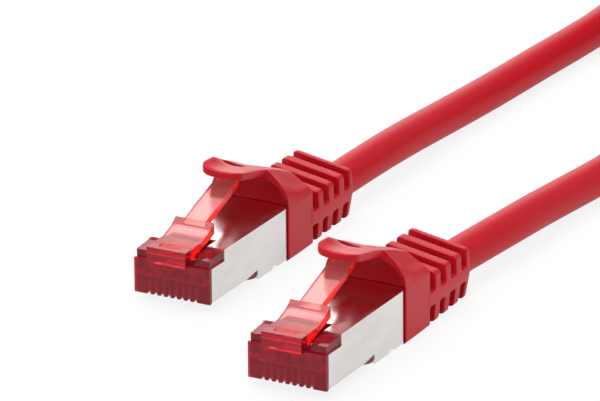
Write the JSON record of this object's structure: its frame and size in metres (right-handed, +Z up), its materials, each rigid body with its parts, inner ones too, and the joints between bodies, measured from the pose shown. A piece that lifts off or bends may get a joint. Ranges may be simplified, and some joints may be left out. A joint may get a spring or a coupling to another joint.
{
  "type": "ethernet patch cable",
  "caption": "Shielded network patch cable: modular plugs with spring latches in soft ribbed boots with hooked latch guards, on a round red cord that lies in a tied coil.",
  "frame": {"origin": "on the surface that the cable lies on, in the middle of the outline of the two plugs with their boots, cord left out", "axes": "+Z up; the plugs point towards -Y with their latches up; +X to the right seen from behind the plugs"},
  "size_m": [0.0618, 0.2035, 0.0225],
  "materials": {
    "housing": "clear moulding that looks deep red over the wires",
    "latch": "clear moulding, lit pink by the red around it",
    "shield": "bright nickel-plated sheet",
    "crimp_band": "bright nickel-plated sheet",
    "contact": "gold-plated blade",
    "wire_guide": "clear moulding",
    "braid": "tinned copper braid",
    "wire_white_orange": "striped insulation",
    "wire_orange": "plain insulation",
    "wire_white_green": "striped insulation",
    "wire_blue": "plain insulation",
    "wire_white_blue": "striped insulation",
    "wire_green": "plain insulation",
    "wire_white_brown": "striped insulation",
    "wire_brown": "plain insulation",
    "jacket": "soft satin PVC",
    "boot": "soft satin PVC",
    "guard": "soft satin PVC",
    "tie": "black hook-and-loop strap"
  },
  "bodies": {
    "cable": {"plug_housing_a": "housing", "shield_shell_a": "shield", "wire_guide_a": "wire_guide", "crimp_band_a": "crimp_band", "braid_sleeve_a": "braid", "jacket_end_a": "jacket", "boot_a": "boot", "contact_1_a": "contact", "wire_1_a": "wire_white_orange", "contact_2_a": "contact", "wire_2_a": "wire_orange", "contact_3_a": "contact", "wire_3_a": "wire_white_green", "contact_4_a": "contact", "wire_4_a": "wire_blue", "contact_5_a": "contact", "wire_5_a": "wire_white_blue", "contact_6_a": "contact", "wire_6_a": "wire_green", "contact_7_a": "contact", "wire_7_a": "wire_white_brown", "contact_8_a": "contact", "wire_8_a": "wire_brown", "plug_housing_b": "housing", "shield_shell_b": "shield", "wire_guide_b": "wire_guide", "crimp_band_b": "crimp_band", "braid_sleeve_b": "braid", "jacket_end_b": "jacket", "boot_b": "boot", "contact_1_b": "contact", "wire_1_b": "wire_white_orange", "contact_2_b": "contact", "wire_2_b": "wire_orange", "contact_3_b": "contact", "wire_3_b": "wire_white_green", "contact_4_b": "contact", "wire_4_b": "wire_blue", "contact_5_b": "contact", "wire_5_b": "wire_white_blue", "contact_6_b": "contact", "wire_6_b": "wire_green", "contact_7_b": "contact", "wire_7_b": "wire_white_brown", "contact_8_b": "contact", "wire_8_b": "wire_brown", "cord_run_a": "jacket", "cord_coil": "jacket", "cord_run_b": "jacket", "coil_tie": "tie"},
    "latch_a": {"latch_tab_a": "latch"},
    "guard_a": {"latch_guard_a": "guard"},
    "latch_b": {"latch_tab_b": "latch"},
    "guard_b": {"latch_guard_b": "guard"}
  },
  "joints": [
    {"name": "guard_a_press", "type": "hinge", "parent": "cable", "child": "guard_a", "pos_m": [-0.01422, 0.01398, 0.01107], "axis": [1, 0, 0], "range_deg": [0, 20], "stiffness_Nm_per_rad": 0.05},
    {"name": "latch_a_press", "type": "hinge", "parent": "cable", "child": "latch_a", "pos_m": [-0.01422, -0.00886, 0.00775], "axis": [-1, 0, 0], "range_deg": [0, 11]},
    {"name": "guard_b_press", "type": "hinge", "parent": "cable", "child": "guard_b", "pos_m": [0.01408, -0.00592, 0.01107], "axis": [1, 0, 0], "range_deg": [0, 20], "stiffness_Nm_per_rad": 0.05},
    {"name": "latch_b_press", "type": "hinge", "parent": "cable", "child": "latch_b", "pos_m": [0.01408, -0.02876, 0.00775], "axis": [-1, 0, 0], "range_deg": [0, 11]}
  ],
  "couplings": [
    {"joint": "latch_a_press", "follows": "guard_a_press", "ratio": 0.55},
    {"joint": "latch_b_press", "follows": "guard_b_press", "ratio": 0.55}
  ]
}
